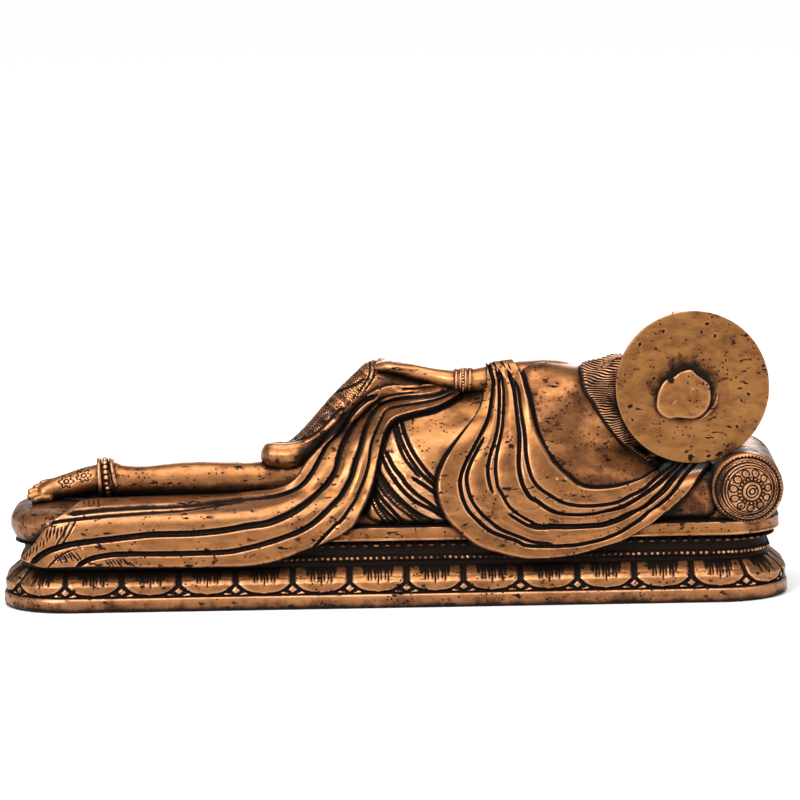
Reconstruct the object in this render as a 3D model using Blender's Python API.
"""Reclining hanuman statue: one bronze casting on a lotus bed, with a separate halo disc.

Metres, Z up. The figure's back faces -Y, its head is towards +X, and the origin is
at the middle of the underside.
"""

import math

import bmesh
import bpy
import numpy as np
from mathutils import Vector
from mathutils.bvhtree import BVHTree

# Lotus base and bed
BASE_LENGTH = 0.388
BASE_DEPTH = 0.088
CORNER_RADIUS = 0.034
RIM_HEIGHT = 0.0070
PETAL_HEIGHT = 0.0125
PETAL_SLOPE = 0.0080
PETAL_RELIEF = 0.0016
PETAL_PITCH = 0.0281
NECK_HEIGHT = 0.0130
NECK_INSET = 0.0102
BAND_HEIGHT = 0.0068
BAND_INSET = 0.0036
MATTRESS_HEIGHT = 0.0095
MATTRESS_CROWN = 0.0020
MATTRESS_FRONT_TRIM = 0.0032
MATTRESS_HEAD_TRIM = 0.0070
BED_OVERLAP = 0.0010

# Halo disc and the tenon that carries it
DISC_RADIUS = 0.0377
DISC_THICKNESS = 0.0030
DISC_ABOVE_BED = 0.0556
DISC_BACK_Y = -0.0255
TENON_RADIUS = 0.0060
TENON_SHOULDER = 0.0040
TENON_ROOT = 0.0120
BOSS_RADIUS = 0.0124
BOSS_THICKNESS = 0.0018
FIT_GAP = 0.0003

# Bolster under the arm
BOLSTER_RADIUS = 0.0177
BOLSTER_LENGTH = 0.0720
BOLSTER_ABOVE_BED = 0.0064
BOLSTER_FRONT_Y = -0.0400
BOLSTER_ROUNDING = 0.0035

# Carving
VIEW_ELEVATION = math.radians(8.0)
SASH_THICKNESS = 0.0020
GROOVE_DEPTH = 0.0020
HANG_INSET = 0.0034
HANG_DEPTH = 0.0110
HANG_BLEND = 0.0060
VOXEL = 0.0010
FIGURE_TRIANGLES = 4400

# The figure is a free form, drawn in shares of the base's length
UNIT = BASE_LENGTH / 388.0
DISC_X = 147.2 * UNIT
BOLSTER_X = 173.1 * UNIT
BED_TOP = RIM_HEIGHT + PETAL_HEIGHT + NECK_HEIGHT + BAND_HEIGHT + MATTRESS_HEIGHT
DRAWN_BED_TOP = 48.8
NEAR_Y = -BASE_DEPTH / 2

# The carving is drawn on an upright plane seen from behind, through the base's near edge
DRAWN_EYE_LEVEL = 101.0
VIEW_DISTANCE = 2600.0 * UNIT
VIEW_AXIS = Vector((0.0, math.cos(VIEW_ELEVATION), -math.sin(VIEW_ELEVATION)))
VIEW_UP = Vector((0.0, math.sin(VIEW_ELEVATION), math.cos(VIEW_ELEVATION)))
DRAWING_ORIGIN = Vector((0.0, NEAR_Y, BED_TOP - DRAWN_BED_TOP * UNIT))
VIEW_POINT = DRAWING_ORIGIN + VIEW_UP * DRAWN_EYE_LEVEL * UNIT - VIEW_AXIS * VIEW_DISTANCE


def clear_scene():
    for item in list(bpy.data.objects):
        bpy.data.objects.remove(item, do_unlink=True)


def bronze(name, colour, roughness):
    material = bpy.data.materials.new(name)
    material.use_nodes = True
    shader = material.node_tree.nodes["Principled BSDF"]
    shader.inputs["Base Color"].default_value = (*colour, 1.0)
    shader.inputs["Roughness"].default_value = roughness
    shader.inputs["Metallic"].default_value = 1.0
    return material


def new_object(name, points, faces, material=None):
    mesh = bpy.data.meshes.new(name)
    mesh.from_pydata([tuple(p) for p in points], [], faces)
    mesh.validate()
    item = bpy.data.objects.new(name, mesh)
    bpy.context.collection.objects.link(item)
    if material:
        mesh.materials.append(material)
    return item


def bake(item):
    """Replaces an object's mesh with its evaluated one and drops its modifiers."""
    bpy.context.view_layer.update()
    graph = bpy.context.evaluated_depsgraph_get()
    mesh = bpy.data.meshes.new_from_object(item.evaluated_get(graph))
    item.modifiers.clear()
    item.data = mesh
    return item


def combine(target, other, operation):
    modifier = target.modifiers.new(operation.title(), "BOOLEAN")
    modifier.operation = operation
    modifier.object = other
    modifier.solver = "EXACT"
    bake(target)
    bpy.data.objects.remove(other, do_unlink=True)
    return target


def skin_rings(rings):
    """Closed surface through equal rings of points, with a flat fan at each end."""
    count = len(rings[0])
    points = [p for ring in rings for p in ring]
    faces = []
    for row in range(len(rings) - 1):
        for k in range(count):
            n = (k + 1) % count
            low, high = row * count, (row + 1) * count
            faces.append((low + k, low + n, high + n, high + k))
    faces.append(tuple(reversed(range(count))))
    last = (len(rings) - 1) * count
    faces.append(tuple(last + k for k in range(count)))
    return points, faces


def outward(item):
    """Turns every face of a closed mesh to point out."""
    shape = bmesh.new()
    shape.from_mesh(item.data)
    bmesh.ops.recalc_face_normals(shape, faces=shape.faces)
    if shape.calc_volume(signed=True) < 0:
        bmesh.ops.reverse_faces(shape, faces=shape.faces)
    shape.to_mesh(item.data)
    shape.free()
    return item


# Lotus base and bed

def outline_point(distance, inset):
    """Point on the base's rounded outline, moved in by inset. Distance runs from x = 0 on the near side."""
    half_x = BASE_LENGTH / 2 - CORNER_RADIUS
    half_y = BASE_DEPTH / 2 - CORNER_RADIUS
    quarter = CORNER_RADIUS * math.pi / 2
    legs = (half_x, quarter, 2 * half_y, quarter, 2 * half_x, quarter, 2 * half_y, quarter, half_x)
    place = distance % sum(legs)
    corners = ((half_x, -half_y), (half_x, half_y), (-half_x, half_y), (-half_x, -half_y))
    reach = CORNER_RADIUS - inset
    for step, leg in enumerate(legs):
        if place <= leg or step == len(legs) - 1:
            break
        place -= leg
    if step % 2:
        cx, cy = corners[step // 2]
        angle = -math.pi / 2 + (step // 2) * math.pi / 2 + place / CORNER_RADIUS
        return cx + reach * math.cos(angle), cy + reach * math.sin(angle)
    if step == 0:
        return place, -half_y - reach
    if step == 2:
        return half_x + reach, -half_y + place
    if step == 4:
        return half_x - place, half_y + reach
    if step == 6:
        return -half_x - reach, half_y - place
    return -half_x + place, -half_y - reach


def outline_length():
    straight = 4 * (BASE_LENGTH / 2 - CORNER_RADIUS) + 4 * (BASE_DEPTH / 2 - CORNER_RADIUS)
    return straight + 2 * math.pi * CORNER_RADIUS


def near_edge(x, inset):
    """Depth of the base's near side at x, moved in by inset."""
    past = min(max(0.0, abs(x) - (BASE_LENGTH / 2 - CORNER_RADIUS)), CORNER_RADIUS - inset)
    return -(BASE_DEPTH / 2 - CORNER_RADIUS) - math.sqrt((CORNER_RADIUS - inset) ** 2 - past ** 2)


def petal_steps():
    """Distances along the outline with each one's place across its petal, -1 to 1."""
    total = outline_length()
    count = max(3, round(total / PETAL_PITCH))
    first_gap = 5.4 * UNIT
    across = (-1.0, -0.84, -0.4, 0.4, 0.84)
    pitch = total / count
    return [(first_gap + (n + (t + 1) / 2) * pitch, t) for n in range(count) for t in across]


def build_lotus(material):
    steps = petal_steps()
    top = RIM_HEIGHT + PETAL_HEIGHT
    shapes = (
        (0.0, 0.0014, 0.0, False),
        (0.0014, 0.0002, 0.0, False),
        (RIM_HEIGHT - 0.0004, 0.0, 0.0, False),
        (0.05, 0.0022, 0.0, True),
        (0.12, 0.0022, 1.0, True),
        (0.45, 0.0026, 1.0, True),
        (0.72, 0.35, 1.0, True),
        (1.0, 1.0, 0.45, True),
    )
    rings = []
    for level, inset, lift, on_petal in shapes:
        ring = []
        for distance, t in steps:
            z = level
            move = inset
            if on_petal:
                foot = RIM_HEIGHT + PETAL_HEIGHT * (0.05 + 0.52 * abs(t) ** 3.0)
                z = foot + (top - foot) * (level - 0.05) / 0.95
                share = max(0.0, (z - RIM_HEIGHT) / PETAL_HEIGHT - 0.45) / 0.55
                move = 0.0022 + PETAL_SLOPE * share ** 1.3
                round_off = 1.0 - 0.35 * abs(t) ** 2
                gap = 0.0 if abs(t) > 0.99 else 1.0
                move -= PETAL_RELIEF * lift * gap * round_off
            x, y = outline_point(distance, move)
            ring.append((x, y, z))
        rings.append(ring)
    points, faces = skin_rings(rings)
    return outward(new_object("reclining_figure", points, faces, material))


def mattress_trim(x, y):
    """How far the mattress stands back: under the figure's back, and at the head end beneath the bolster."""
    front = np.interp(x / UNIT, (-70, -40, 154, 166), (0.0, 1.0, 1.0, 0.0)) if y < -0.25 * BASE_DEPTH else 0.0
    head = np.interp(x / UNIT, (150, 178), (0.0, 1.0))
    return float(MATTRESS_FRONT_TRIM * front + MATTRESS_HEAD_TRIM * head)


def build_bed():
    """Neck, band and mattress as one turned outline, sunk a little into the lotus."""
    foot = RIM_HEIGHT + PETAL_HEIGHT
    band = foot + NECK_HEIGHT
    edge = band + BAND_HEIGHT
    levels = (
        (foot - BED_OVERLAP, NECK_INSET),
        (foot + 0.0020, NECK_INSET),
        (foot + 0.0034, NECK_INSET - 0.0012),
        (foot + 0.0050, NECK_INSET),
        (band - 0.0008, NECK_INSET + 0.0004),
        (band, BAND_INSET + 0.0022),
        (band + 0.0008, BAND_INSET + 0.0004),
        (edge - 0.0010, BAND_INSET),
        (edge, BAND_INSET + 0.0012),
        (edge + 0.0010, BAND_INSET + 0.0004),
        (edge + 0.5 * MATTRESS_HEIGHT, BAND_INSET + 0.0006),
        (edge + 0.82 * MATTRESS_HEIGHT, BAND_INSET + 0.0032),
        (edge + MATTRESS_HEIGHT, BAND_INSET + 0.0080),
        (edge + MATTRESS_HEIGHT + 0.75 * MATTRESS_CROWN, BAND_INSET + 0.0170),
        (edge + MATTRESS_HEIGHT + MATTRESS_CROWN, CORNER_RADIUS - 0.0060),
    )
    total = outline_length()
    count = 56
    rings = []
    for z, inset in levels:
        ring = []
        for k in range(count):
            x, y = outline_point(total * k / count, inset)
            if z > edge:
                x, y = outline_point(total * k / count, inset + mattress_trim(x, y))
            ring.append((x, y, z))
        rings.append(ring)
    points, faces = skin_rings(rings)
    return outward(new_object("bed", points, faces))


# The figure's forms

def drawn(x, y, z):
    """A drawn place on the figure, in the part's metres."""
    return Vector((x * UNIT, y * UNIT, BED_TOP + (z - DRAWN_BED_TOP) * UNIT))


def smooth_path(keys, per_leg):
    """Catmull-Rom through the keys, which are tuples of equal length."""
    rows = np.array(keys, dtype=float)
    padded = np.vstack([2 * rows[0] - rows[1], rows, 2 * rows[-1] - rows[-2]])
    result = []
    for leg in range(len(rows) - 1):
        a, b, c, d = padded[leg:leg + 4]
        for k in range(per_leg):
            t = k / per_leg
            result.append(0.5 * (2 * b + (c - a) * t + (2 * a - 5 * b + 4 * c - d) * t * t
                                 + (3 * b - a - 3 * c + d) * t ** 3))
    result.append(rows[-1])
    return np.array(result)


def limb(keys, sides=20, per_leg=4, squareness=1.0):
    """Rounded form along keys of x, y, z, half width in depth and half width upright."""
    path = smooth_path(keys, per_leg)
    centres = path[:, :3]
    tangents = np.gradient(centres, axis=0)
    tangents /= np.linalg.norm(tangents, axis=1)[:, None]
    rings = []
    stations = []
    start, end = path[0], path[-1]
    for turn in (0.12, 0.5, 0.85, 1.2):
        stations.append((centres[0] - tangents[0] * min(start[3], start[4]) * math.cos(turn),
                         tangents[0], start[3] * math.sin(turn), start[4] * math.sin(turn)))
    for k in range(len(path)):
        stations.append((centres[k], tangents[k], path[k][3], path[k][4]))
    for turn in (1.2, 0.85, 0.5, 0.12):
        stations.append((centres[-1] + tangents[-1] * min(end[3], end[4]) * math.cos(turn),
                         tangents[-1], end[3] * math.sin(turn), end[4] * math.sin(turn)))
    for centre, tangent, wide, high in stations:
        side = np.array((0.0, 1.0, 0.0)) - tangent * tangent[1]
        side /= np.linalg.norm(side)
        up = np.cross(side, tangent)
        ring = []
        for k in range(sides):
            angle = 2 * math.pi * k / sides
            c, s = math.cos(angle), math.sin(angle)
            c = math.copysign(abs(c) ** squareness, c)
            s = math.copysign(abs(s) ** squareness, s)
            ring.append(drawn(*(centre + side * wide * c + up * high * s)))
        rings.append(ring)
    return skin_rings(rings)


def round_limb(keys, sides=20, per_leg=4):
    return limb([(x, y, z, r, r) for x, y, z, r in keys], sides, per_leg)


HEAD_TILT = math.radians(97.0)
HEAD = (145.0, 0.0, 98.0)


def on_head(out, up, left):
    """Place by distances from the skull's middle: out of the face, to the crown, to the left ear."""
    c, s = math.cos(HEAD_TILT), math.sin(HEAD_TILT)
    return (HEAD[0] + up * c - left * s, HEAD[1] + out, HEAD[2] + up * s + left * c)


def head_ball(out, up, left, size_out, size_up, size_left, sides=16):
    """Ellipsoid whose axes follow the tilted head."""
    rings = []
    for row in range(1, 10):
        polar = math.pi * row / 10
        ring = []
        for k in range(sides):
            angle = 2 * math.pi * k / sides
            place = on_head(out + size_out * math.sin(polar) * math.cos(angle),
                            up - size_up * math.cos(polar),
                            left + size_left * math.sin(polar) * math.sin(angle))
            ring.append(drawn(*place))
        rings.append(ring)
    return skin_rings(rings)


def crown(sides=20):
    """Tall stepped crown along the head's own axis."""
    steps = ((8, 14.6), (11, 15.6), (13, 15.4), (13.6, 13.6), (20, 12.0), (20.6, 12.8),
             (22.6, 12.4), (23.2, 10.0), (29, 8.0), (29.6, 8.8), (31.4, 8.2), (32, 5.4), (37, 3.0), (41, 1.0))
    rings = []
    for up, radius in steps:
        ring = []
        for k in range(sides):
            angle = 2 * math.pi * k / sides
            ring.append(drawn(*on_head(radius * math.cos(angle), up, radius * math.sin(angle))))
        rings.append(ring)
    return skin_rings(rings)


def body_forms():
    forms = [
        limb([(2, -3, 73, 21, 21), (18, -5, 76, 24, 25), (38, -5, 75, 22.5, 25.5), (60, -7, 78, 24, 29),
              (84, -8, 84, 25, 31), (95, -7, 84.5, 23, 27.8), (106, -5, 87, 20, 27), (116, -4, 91, 17, 20)], 28),
        limb([(-10, -14, 64, 19, 20), (20, -15, 67, 23, 24), (60, -14, 67, 24, 26), (88, -14, 65, 23, 24),
              (104, -15, 60, 20, 18), (118, -16, 57, 18, 14)], 24),
        limb([(16, 3, 97, 11, 9), (34, 2, 97, 11, 11), (50, 0, 97, 12, 12)]),
        limb([(58, -9, 97, 12, 15), (72, -9, 101, 13.5, 15.5), (88, -8, 101, 13, 13.5)]),
        limb([(-2, -28.5, 51, 12.5, 12), (20, -28.5, 51, 13, 12.5), (60, -28.5, 51, 13, 12.5),
              (100, -28.5, 51, 13, 12.5), (122, -27, 52, 12.5, 12)]),
        limb([(20, -5, 72, 22, 22), (-4, -6, 69, 20, 19.5), (-26, -7, 65, 16, 14.5), (-44, -6, 62.5, 11, 9.5),
              (-56, -5, 62, 7.5, 7.5)], 24),
        limb([(-40, -5, 61, 8.2, 9.2), (-72, -5, 58.8, 7.8, 8.8), (-100, -5, 59.4, 7.6, 9.0),
              (-125, -5, 58.9, 7.2, 7.8), (-141, -5, 60, 7.4, 8.4)]),
        limb([(-139, -5, 60.8, 7.0, 8.2), (-150, -5, 60.6, 6.4, 6.6), (-160, -5, 57.8, 5.8, 6.2),
              (-168, -5, 55.2, 5.2, 5.6)]),
        limb([(-165, -7, 52.8, 5.0, 3.8), (-176.6, -7, 52.2, 3.8, 3.0)]),
        limb([(-165, -5, 57.4, 4.4, 3.6), (-175.6, -5, 56.2, 3.8, 3.0)]),
        limb([(28, 2, 86, 18, 18), (10, 5, 97, 13, 14), (-7.5, 8, 105.5, 10.8, 10.8)]),
        limb([(-7.5, 8, 105.5, 10.8, 10.8), (-22, 6, 92.4, 10, 10.4), (-38, 3, 77.8, 9, 8.6),
              (-49, 0, 71.0, 8.5, 7.0), (-58.8, -2, 70.2, 7.5, 7.2)]),
        limb([(-58.5, -9, 71.6, 7, 6.6), (-50, -10, 71.6, 8, 7.2), (-43, -10, 74, 8, 7), (-37, -9, 80, 8, 6.5),
              (-31, -8, 87, 8, 6)]),
        round_limb([(-50, 9, 64, 7.0), (-60, 13, 57.5, 6.2), (-72, 16, 54.0, 5.4), (-86, 18, 51.8, 4.2)]),
        round_limb([(92, -4, 98, 11.5), (82, -5, 104.6, 11.6), (66, -8, 108, 8.6), (50, -9, 107.3, 7.5),
                    (38, -9, 107.3, 5.5), (30, -8, 107.4, 4.9), (20, -6, 109.4, 3.9), (8, -4, 112, 3.6)]),
        limb([(10, -4, 111.8, 4.0, 3.4), (2, -2, 113.2, 5.5, 3.0), (-5, -1, 112.8, 5.0, 2.8)]),
        limb([(103, -5, 98.2, 16, 19.5), (118, -5, 94, 19.5, 24), (130, -5, 93, 18, 20),
              (140, -3, 96, 14, 15)], 24),
        limb([(104, -2, 50, 35, 11.5), (130, -2, 50, 36.5, 11.5), (153, -2, 50, 36.5, 11.5)], 28,
             squareness=0.4),
        round_limb([(104, 8, 74, 12), (124, 15, 68, 9.5), (148, 18, 70, 8.0), (168, 15, 77, 6.6)]),
        round_limb([(168, 15, 77, 6.4), (169, 15, 86, 5.2), (166, 12, 95, 4.4)]),
        limb([(166, 12, 94, 4.5, 4.0), (163, 9, 101, 6.0, 4.0), (160, 8, 108, 4.0, 3.0)]),
        head_ball(0, 0, 0, 16, 17.5, 15),
        head_ball(12, -5.5, 0, 9, 7.5, 8),
        head_ball(11, 4.5, 0, 6, 3.4, 11),
        head_ball(8, -3, 8.5, 7, 7, 5),
        head_ball(8, -3, -8.5, 7, 7, 5),
        head_ball(-2, -3, 17.5, 5, 6, 3.5),
        head_ball(-2, -3, -17.5, 5, 6, 3.5),
        crown(),
    ]
    return forms


def joined_forms(name, forms):
    points, faces = [], []
    for form_points, form_faces in forms:
        start = len(points)
        points.extend(form_points)
        faces.extend(tuple(start + k for k in face) for face in form_faces)
    return outward(new_object(name, points, faces))


def remesh(item, voxel):
    modifier = item.modifiers.new("Remesh", "REMESH")
    modifier.mode = "VOXEL"
    modifier.voxel_size = voxel
    return bake(item)


# Curves of the drapery, drawn as seen from behind at the view's elevation

LEFT_SASH_TOP = (
    (33, 105.5), (19.8, 108.4), (6, 108.4), (-5.6, 108.8), (-15.2, 103.4), (-24.2, 93.8), (-33.2, 83.6),
    (-41.6, 73.4), (-46.4, 66), (-56, 59.5), (-73, 56.5), (-105, 55.4), (-135, 54.8), (-153, 54),
    (-159, 49.8), (-166, 46), (-175.2, 37.5), (-182.1, 27.6),
)
LEFT_SASH_FOOT = (
    (33, 103), (24, 98.2), (10, 94.4), (-1.4, 89), (-5.6, 78.2), (-9.6, 61.8), (-13.8, 49.8), (-19.8, 40.2),
    (-30, 34.2), (-46, 28.5), (-70, 22), (-105, 21.9), (-129, 22.2), (-147, 22.9), (-169.2, 23.1), (-176, 24),
)
LEFT_GROOVES = (
    ((-159, 47.4), (-135, 49.3), (-100, 50.4), (-73, 52.8), (-56.2, 54.6), (-45.4, 60), (-40, 66), (-32.6, 79.4),
     (-26, 89), (-17, 99.5), (-8, 104.9), (5, 106.5), (20, 107)),
    ((-177, 25.2), (-168, 31.8), (-156, 34.8), (-129, 37.5), (-100, 38.5), (-73, 41.4), (-58, 43.8), (-46, 49.2),
     (-35.2, 58.2), (-27.8, 68), (-21.2, 84.2), (-14, 95.6), (-5, 103.4), (12, 104.3)),
    ((-156, 23.4), (-144, 28.2), (-115, 28.9), (-82, 29.3), (-64, 33), (-46, 39), (-33.4, 47.4), (-23, 59),
     (-15.8, 77), (-8.6, 94.4), (0, 100.7), (18, 101.8), (29.4, 106)),
    ((-40.6, 30.3), (-29.2, 41.4), (-18.6, 52.8), (-11.9, 71), (-7.4, 86), (-2, 95.6), (12, 98.5), (30, 103.6)),
    ((-182, 29), (-175.2, 37.5), (-166.8, 44.3), (-141, 46.3), (-105, 47.9)),
)
RIGHT_SASH_LEFT = (
    (46, 117.5), (46.2, 109), (45, 100), (40.2, 91), (28.8, 77.2), (21.3, 62.8), (22.8, 49.2), (33, 35.4),
    (48, 27), (71, 23.1), (93.2, 25.8), (112.4, 31.5), (130, 42), (141.3, 51.7), (150, 60),
    (155, 67),
)
RIGHT_SASH_RIGHT = (
    (58.2, 119), (63.9, 112.6), (67.2, 100), (70.2, 85.6), (81.6, 66.4), (90.8, 58.5), (104, 56.7), (116, 58.8),
    (126.8, 63.6), (134, 67.5), (139, 71),
)
RIGHT_GROOVES = (
    ((48, 114.4), (50.1, 104.8), (48, 94), (39.6, 77.8), (33, 65), (33.3, 54), (43.2, 40.2), (60, 32.1),
     (71, 29.3), (89, 29.7), (110, 35.4), (128, 47.4), (138.8, 57)),
    ((44.4, 82), (37.8, 70.6), (36.3, 57), (46.8, 42), (60, 34.5), (72, 30.5)),
    ((51, 115), (53.1, 104.8), (51, 85), (46.2, 66), (48.3, 55.6)),
    ((54.3, 112), (54.9, 97), (50.7, 75.4), (50.7, 59.2), (59, 46.8), (72.8, 38.6), (101, 39.3), (119, 46.2),
     (139.4, 61.8)),
    ((57, 114.4), (60.3, 104.8), (61.8, 83.2), (61.2, 70), (66.6, 53.2), (81.2, 45.6), (104, 46.5), (134, 60.6)),
    ((60.3, 110.2), (63, 97), (64.8, 74.8), (70.8, 58), (82.4, 50.7), (104, 49.5), (135.8, 64.8)),
)
PLEATS = (
    ((4.5, 89.8), (9, 77.2), (19.8, 62.8)),
    ((0.9, 86.8), (6, 72.4), (19.2, 58)),
    ((-2.4, 73.8), (6, 60.6), (21, 48)),
    ((-6.6, 65.4), (1.8, 54.6), (19.2, 42)),
    ((-9.3, 58.2), (-1.8, 48.6), (6, 40.5)),
)
# Where the cloth bridges from the hip to the bed's edge: span across, and heights and depth of the bridge
BRIDGE_SPAN = (-80.0, -50.0, 108.0, 125.0)
DRAWN_SHOULDER = 112.0
BRIDGE_FOOT = 44.5
BRIDGE_HEAD = 92.0
BRIDGE_Y = NEAR_Y + 16.0 * UNIT
COLLAR_EDGE = ((88, 121), (91.6, 111), (97.1, 99.3), (104.8, 86.8), (115.8, 74.3), (127.5, 66.6), (136, 62))


def view_place(points):
    """Where world points fall in the drawing seen from behind, in drawing units."""
    away = points - np.array(VIEW_POINT)
    scale = VIEW_DISTANCE / (away @ np.array(VIEW_AXIS)) / UNIT
    across = away[:, 0] * scale
    upright = (away @ np.array(VIEW_UP)) * scale + DRAWN_EYE_LEVEL
    return np.column_stack([across, upright])


def drawn_point(across, upright):
    """The point of the drawing's own plane, which stands at the base's near edge."""
    return DRAWING_ORIGIN + Vector((across * UNIT, 0.0, 0.0)) + VIEW_UP * upright * UNIT


def cast(tree, across, upright):
    """First surface behind a drawn place: its point and its normal."""
    ray = (drawn_point(across, upright) - VIEW_POINT).normalized()
    hit, normal, _, _ = tree.ray_cast(VIEW_POINT, ray)
    return hit, normal


def resample(curve, count):
    path = smooth_path(curve, 6)
    length = np.concatenate([[0.0], np.cumsum(np.linalg.norm(np.diff(path, axis=0), axis=1))])
    wanted = np.linspace(0.0, length[-1], count)
    return np.column_stack([np.interp(wanted, length, path[:, k]) for k in range(2)])


def drape(tree, first, second, thickness, rows=110, across=12):
    """Cloth laid on what is behind it, between two drawn edges."""
    one, two = resample(first, rows), resample(second, rows)
    places = np.zeros((rows, across, 3))
    for i in range(rows):
        for j in range(across):
            spot = one[i] + (two[i] - one[i]) * j / (across - 1)
            hit, _ = cast(tree, spot[0], spot[1])
            places[i, j] = hit if hit else (np.nan, np.nan, np.nan)
    places = fill_gaps(tree, places, one, two)
    pull_forward(places)
    for _ in range(6):
        places[1:-1, 1:-1] = (places[1:-1, 1:-1] * 2 + places[:-2, 1:-1] + places[2:, 1:-1]
                              + places[1:-1, :-2] + places[1:-1, 2:]) / 6
        for edge in (0, -1):
            places[1:-1, edge] = (places[1:-1, edge] * 2 + places[:-2, edge] + places[2:, edge]) / 4
    along = np.gradient(places, axis=0)
    over = np.gradient(places, axis=1)
    normals = np.cross(along, over)
    normals /= np.linalg.norm(normals, axis=2)[..., None] + 1e-12
    if normals[..., 1].mean() > 0:
        normals = -normals
    front = places + normals * thickness
    back = places - normals * thickness
    hanging = np.clip((BED_TOP + HANG_BLEND - places[..., 2]) / HANG_BLEND, 0.0, 1.0)
    back[..., 1] += hanging * HANG_DEPTH
    rings = []
    for i in range(rows):
        rings.append([tuple(p) for p in front[i]] + [tuple(p) for p in back[i][::-1]])
    return skin_rings(rings)


def at_depth(spot, y):
    """The point behind a drawn place that lies at the given depth."""
    ray = drawn_point(spot[0], spot[1]) - VIEW_POINT
    return tuple(VIEW_POINT + ray * (y - VIEW_POINT.y) / ray.y)


def pull_forward(places):
    """Cloth hangs clear of the recessed neck and bridges from the hip to the bed's edge."""
    drawn_places = view_place(places.reshape(-1, 3)).reshape(*places.shape[:2], 2)
    for i in range(places.shape[0]):
        for j in range(places.shape[1]):
            a, b = drawn_places[i, j]
            hang = near_edge(places[i, j, 0], HANG_INSET)
            bridge = hang + (BRIDGE_Y - hang) * np.clip((b - BRIDGE_FOOT) / (BRIDGE_HEAD - BRIDGE_FOOT), 0.0, 1.0)
            pull = float(np.interp(a, BRIDGE_SPAN, (0.0, 1.0, 1.0, 0.0)))
            pull *= np.clip((BRIDGE_HEAD - b) / (BRIDGE_HEAD - BRIDGE_FOOT), 0.0, 1.0)
            limit = hang if b < BRIDGE_FOOT else bridge * pull + places[i, j, 1] * (1.0 - pull)
            if places[i, j, 1] > limit:
                places[i, j] = at_depth((a, b), limit)


def fill_gaps(tree, places, one, two):
    """Where nothing is behind the cloth, it takes its neighbours' depth, or wraps over the arm."""
    rows, across = places.shape[:2]
    depth = places[..., 1]
    missing = np.isnan(depth)
    for i in range(rows):
        known = np.where(~missing[i])[0]
        if len(known) and missing[i].any():
            depth[i] = np.interp(np.arange(across), known, depth[i][known])
    for j in range(across):
        column = depth[:, j]
        known = np.where(~np.isnan(column))[0]
        depth[:, j] = np.interp(np.arange(rows), known, column[known])
    for i, j in zip(*np.where(missing)):
        spot = one[i] + (two[i] - one[i]) * j / (across - 1)
        places[i, j] = at_depth(spot, depth[i, j])
        if spot[1] > DRAWN_SHOULDER:
            places[i, j] = tree.find_nearest(Vector(places[i, j]))[0]
    return places


def curve_distance(places, curve):
    """Distance of each drawn place from a smooth curve."""
    path = smooth_path(curve, 4)
    nearest = np.full(len(places), 1e9)
    for start, end in zip(path[:-1], path[1:]):
        leg = end - start
        share = np.clip(((places - start) @ leg) / max(leg @ leg, 1e-9), 0.0, 1.0)
        gap = places - start - share[:, None] * leg
        nearest = np.minimum(nearest, np.einsum("ij,ij->i", gap, gap))
    return np.sqrt(nearest)


def inside(places, corners):
    """Which drawn places lie inside a closed outline."""
    result = np.zeros(len(places), dtype=bool)
    x, y = places[:, 0], places[:, 1]
    for (x1, y1), (x2, y2) in zip(corners, np.roll(corners, -1, axis=0)):
        if y1 == y2:
            continue
        crossing = ((y1 > y) != (y2 > y)) & (x < (x2 - x1) * (y - y1) / (y2 - y1) + x1)
        result ^= crossing
    return result


def carve(item):
    """Cuts the grooves and raises the collar on the side that faces the view."""
    mesh = item.data
    count = len(mesh.vertices)
    points = np.empty(count * 3)
    normals = np.empty(count * 3)
    mesh.vertices.foreach_get("co", points)
    mesh.vertices.foreach_get("normal", normals)
    points, normals = points.reshape(-1, 3), normals.reshape(-1, 3)
    facing = np.clip(normals @ np.array(VIEW_AXIS) * -2.5, 0.0, 1.0)
    places = view_place(points)
    height = np.zeros(count)
    for curve in LEFT_GROOVES + RIGHT_GROOVES:
        gap = curve_distance(places, curve)
        height -= GROOVE_DEPTH * np.exp(-(gap / 1.5) ** 2)
    for curve in PLEATS:
        gap = curve_distance(places, curve)
        height -= 0.45 * GROOVE_DEPTH * np.exp(-(gap / 1.2) ** 2)
    collar = np.vstack([smooth_path(COLLAR_EDGE, 4), [(190, 60), (190, 150), (88, 150)]])
    height += 0.0015 * inside(places, collar)
    height = height * facing
    moved = points + normals * height[:, None]
    mesh.vertices.foreach_set("co", moved.ravel())
    mesh.update()


def build_figure(bed):
    body = remesh(joined_forms("body", body_forms()), VOXEL * 1.4)
    soften(body, 4)
    bpy.context.view_layer.update()
    tree = surface_of([body, bed])
    for first, second in ((LEFT_SASH_TOP, LEFT_SASH_FOOT), (RIGHT_SASH_LEFT, RIGHT_SASH_RIGHT)):
        combine_points(body, joined_forms("sash", [drape(tree, first, second, SASH_THICKNESS)]))
    remesh(body, VOXEL)
    soften(body, 2)
    carve(body)
    modifier = body.modifiers.new("Decimate", "DECIMATE")
    triangles = sum(len(p.vertices) - 2 for p in body.data.polygons)
    modifier.ratio = min(1.0, FIGURE_TRIANGLES / triangles)
    return fill_voids(bake(body))


def fill_voids(item):
    """Keeps the outer skin alone, so that small voids between the forms are solid metal."""
    shape = bmesh.new()
    shape.from_mesh(item.data)
    waiting = set(shape.faces)
    skins = []
    while waiting:
        stack = [waiting.pop()]
        skin = list(stack)
        while stack:
            for edge in stack.pop().edges:
                for face in edge.link_faces:
                    if face in waiting:
                        waiting.discard(face)
                        stack.append(face)
                        skin.append(face)
        skins.append(skin)
    skins.sort(key=len)
    for skin in skins[:-1]:
        bmesh.ops.delete(shape, geom=skin, context="FACES")
    loose = [v for v in shape.verts if not v.link_faces]
    bmesh.ops.delete(shape, geom=loose, context="VERTS")
    shape.to_mesh(item.data)
    shape.free()
    return item


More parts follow.
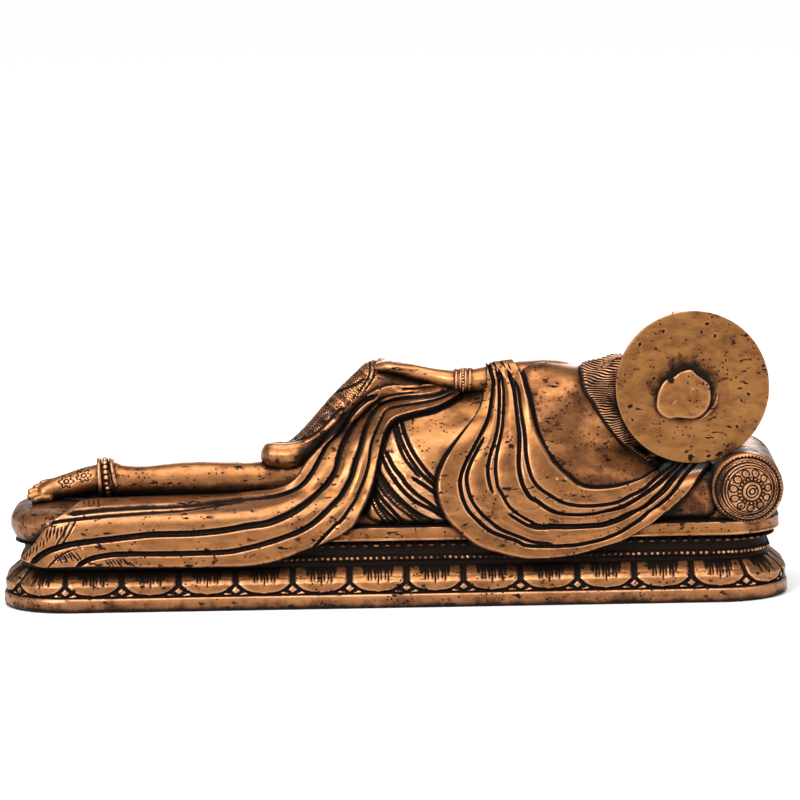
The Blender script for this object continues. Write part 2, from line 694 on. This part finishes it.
def combine_points(target, other):
    """Adds the other object's faces to the target's mesh."""
    shape = bmesh.new()
    shape.from_mesh(target.data)
    shape.from_mesh(other.data)
    shape.to_mesh(target.data)
    shape.free()
    bpy.data.objects.remove(other, do_unlink=True)


def soften(item, times):
    modifier = item.modifiers.new("Smooth", "SMOOTH")
    modifier.factor = 0.5
    modifier.iterations = times
    return bake(item)


def surface_of(items):
    points, faces = [], []
    for item in items:
        start = len(points)
        points.extend(v.co.copy() for v in item.data.vertices)
        faces.extend([start + k for k in p.vertices] for p in item.data.polygons)
    return BVHTree.FromPolygons(points, faces)


# Turned pieces along Y

def turned(name, x, z, stations, sides):
    """Solid of revolution about a line along Y through x and z; stations are y and radius."""
    rings = []
    for y, radius in stations:
        rings.append([(x + radius * math.cos(2 * math.pi * k / sides), y,
                       z + radius * math.sin(2 * math.pi * k / sides)) for k in range(sides)])
    points, faces = skin_rings(rings)
    return outward(new_object(name, points, faces))


def build_bolster():
    z = BED_TOP + BOLSTER_ABOVE_BED
    near, far = BOLSTER_FRONT_Y, BOLSTER_FRONT_Y + BOLSTER_LENGTH
    r, e = BOLSTER_RADIUS, BOLSTER_ROUNDING
    stations = ((near, r - e), (near + 0.3 * e, r - 0.3 * e), (near + e, r), (far - e, r),
                (far - 0.3 * e, r - 0.3 * e), (far, r - e))
    return turned("bolster", BOLSTER_X, z, stations, 28)


def disc_height():
    return BED_TOP + DISC_ABOVE_BED


def disc_slot():
    """Room for the disc: its plate with the fit gap all round."""
    near = DISC_BACK_Y - DISC_THICKNESS - FIT_GAP
    far = DISC_BACK_Y + FIT_GAP
    reach = DISC_RADIUS + 2 * FIT_GAP
    return turned("slot", DISC_X, disc_height(), ((near, reach), (far, reach)), 64)


def build_tenon():
    z = disc_height()
    seat = DISC_BACK_Y + FIT_GAP
    outer = DISC_BACK_Y - DISC_THICKNESS - FIT_GAP
    wide = TENON_RADIUS + TENON_SHOULDER
    stations = ((seat + TENON_ROOT, wide), (seat, wide), (seat, TENON_RADIUS), (outer, TENON_RADIUS),
                (outer - 0.5 * BOSS_THICKNESS, TENON_RADIUS))
    return turned("tenon", DISC_X, z, stations, 28)


def build_boss():
    """The tenon's end, beaten over into an uneven flat head."""
    z = disc_height()
    sides = 28
    outer = DISC_BACK_Y - DISC_THICKNESS - FIT_GAP
    rings = []
    for y, share in ((outer, 1.0), (outer - 0.6 * BOSS_THICKNESS, 0.98), (outer - BOSS_THICKNESS, 0.86)):
        ring = []
        for k in range(sides):
            angle = 2 * math.pi * k / sides
            wave = 1.0 + 0.07 * math.sin(3 * angle + 0.6) + 0.05 * math.sin(5 * angle + 2.0)
            wave -= 0.16 * math.exp(-((angle - 2.25) / 0.22) ** 2)
            radius = BOSS_RADIUS * wave * share
            ring.append((DISC_X + radius * math.cos(angle) - 0.0028, y, z + radius * math.sin(angle) - 0.0030))
        rings.append(ring)
    points, faces = skin_rings(rings)
    return outward(new_object("boss", points, faces))


def build_disc(material):
    z = disc_height()
    sides = 56
    near, far = DISC_BACK_Y - DISC_THICKNESS, DISC_BACK_Y
    bevel = 0.0006
    hole = TENON_RADIUS + FIT_GAP
    stations = ((far, hole), (far, DISC_RADIUS - bevel), (far - bevel, DISC_RADIUS),
                (near + bevel, DISC_RADIUS), (near, DISC_RADIUS - bevel), (near, hole))
    points, faces = [], []
    for y, radius in stations:
        for k in range(sides):
            angle = 2 * math.pi * k / sides
            points.append((DISC_X + radius * math.cos(angle), y, z + radius * math.sin(angle)))
    rows = len(stations)
    for row in range(rows):
        low, high = row * sides, ((row + 1) % rows) * sides
        for k in range(sides):
            n = (k + 1) % sides
            faces.append((low + k, low + n, high + n, high + k))
    disc = outward(new_object("halo_disc", points, faces, material))
    disc.data.shade_smooth()
    disc.data.set_sharp_from_angle(angle=math.radians(35))
    return disc


def build_casting(material):
    casting = build_lotus(material)
    bed = build_bed()
    figure = build_figure(bed)
    combine(casting, bed, "UNION")
    combine(casting, build_bolster(), "UNION")
    combine(casting, figure, "UNION")
    combine(casting, disc_slot(), "DIFFERENCE")
    tenon = build_tenon()
    combine(tenon, build_boss(), "UNION")
    combine(casting, tenon, "UNION")
    fill_voids(casting)
    casting.data.materials.clear()
    casting.data.materials.append(material)
    casting.data.shade_smooth()
    casting.data.set_sharp_from_angle(angle=math.radians(40))
    return casting


clear_scene()
build_casting(bronze("antique_bronze", (0.42, 0.22, 0.08), 0.38))
build_disc(bronze("disc_bronze", (0.50, 0.28, 0.11), 0.36))
